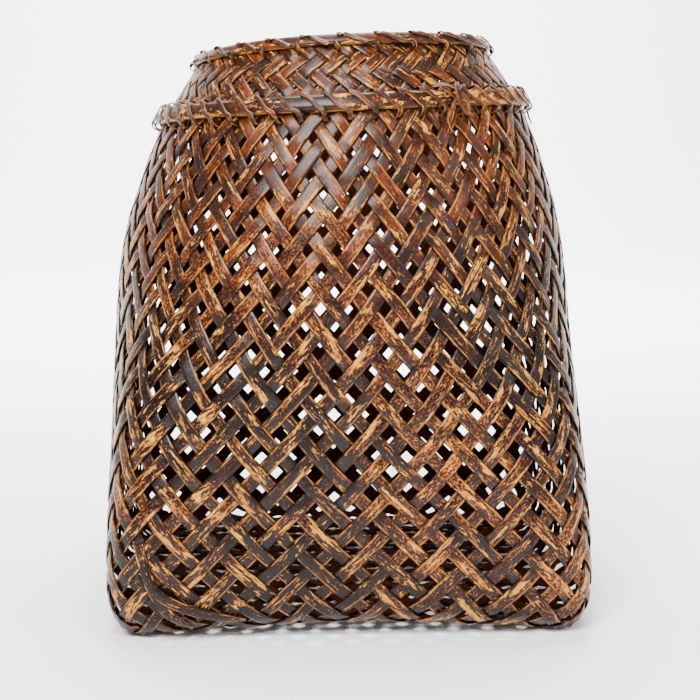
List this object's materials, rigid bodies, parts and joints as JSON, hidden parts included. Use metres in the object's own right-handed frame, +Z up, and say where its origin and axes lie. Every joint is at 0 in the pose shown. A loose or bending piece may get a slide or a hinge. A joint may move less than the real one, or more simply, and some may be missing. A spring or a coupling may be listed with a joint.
{
  "type": "plaited bamboo basket",
  "caption": "Open-mouthed plaited bamboo basket with a square twill base, bulging walls, a lashed shoulder hoop and a narrower lashed rim.",
  "frame": {"origin": "on the floor under the middle of the square base", "axes": "+Z up the basket towards its mouth, -Y out of one flat side of the square base"},
  "size_m": [0.2846, 0.2846, 0.3393],
  "materials": {
    "splint_dark": "smoked and lacquered",
    "splint_brown": "smoked and lacquered",
    "splint_amber": "smoked and lacquered",
    "hoop": "smoked and lacquered",
    "hoop_pale": "smoked and lacquered",
    "lashing": "smoked and lacquered",
    "rim": "smoked and lacquered"
  },
  "bodies": {
    "root": {"splint_a_01": "splint_brown", "splint_a_02": "splint_amber", "splint_a_03": "splint_dark", "splint_a_04": "splint_brown", "splint_a_05": "splint_amber", "splint_a_06": "splint_dark", "splint_a_07": "splint_brown", "splint_a_08": "splint_amber", "splint_a_09": "splint_dark", "splint_a_10": "splint_brown", "splint_a_11": "splint_amber", "splint_a_12": "splint_dark", "splint_a_13": "splint_brown", "splint_a_14": "splint_amber", "splint_a_15": "splint_dark", "splint_a_16": "splint_brown", "splint_a_17": "splint_amber", "splint_a_18": "splint_dark", "splint_a_19": "splint_brown", "splint_a_20": "splint_amber", "splint_a_21": "splint_dark", "splint_a_22": "splint_brown", "splint_a_23": "splint_amber", "splint_a_24": "splint_dark", "splint_a_25": "splint_brown", "splint_a_26": "splint_amber", "splint_b_01": "splint_amber", "splint_b_02": "splint_dark", "splint_b_03": "splint_brown", "splint_b_04": "splint_amber", "splint_b_05": "splint_dark", "splint_b_06": "splint_brown", "splint_b_07": "splint_amber", "splint_b_08": "splint_dark", "splint_b_09": "splint_brown", "splint_b_10": "splint_amber", "splint_b_11": "splint_dark", "splint_b_12": "splint_brown", "splint_b_13": "splint_amber", "splint_b_14": "splint_dark", "splint_b_15": "splint_brown", "splint_b_16": "splint_amber", "splint_b_17": "splint_dark", "splint_b_18": "splint_brown", "splint_b_19": "splint_amber", "splint_b_20": "splint_dark", "splint_b_21": "splint_brown", "splint_b_22": "splint_amber", "splint_b_23": "splint_dark", "splint_b_24": "splint_brown", "splint_b_25": "splint_amber", "splint_b_26": "splint_dark", "shoulder_hoop": "hoop", "shoulder_hoop_end": "hoop_pale", "shoulder_lashing": "lashing", "rim_band_outer": "rim", "rim_band_inner": "rim", "rim_lashing": "lashing"}
  },
  "joints": []
}
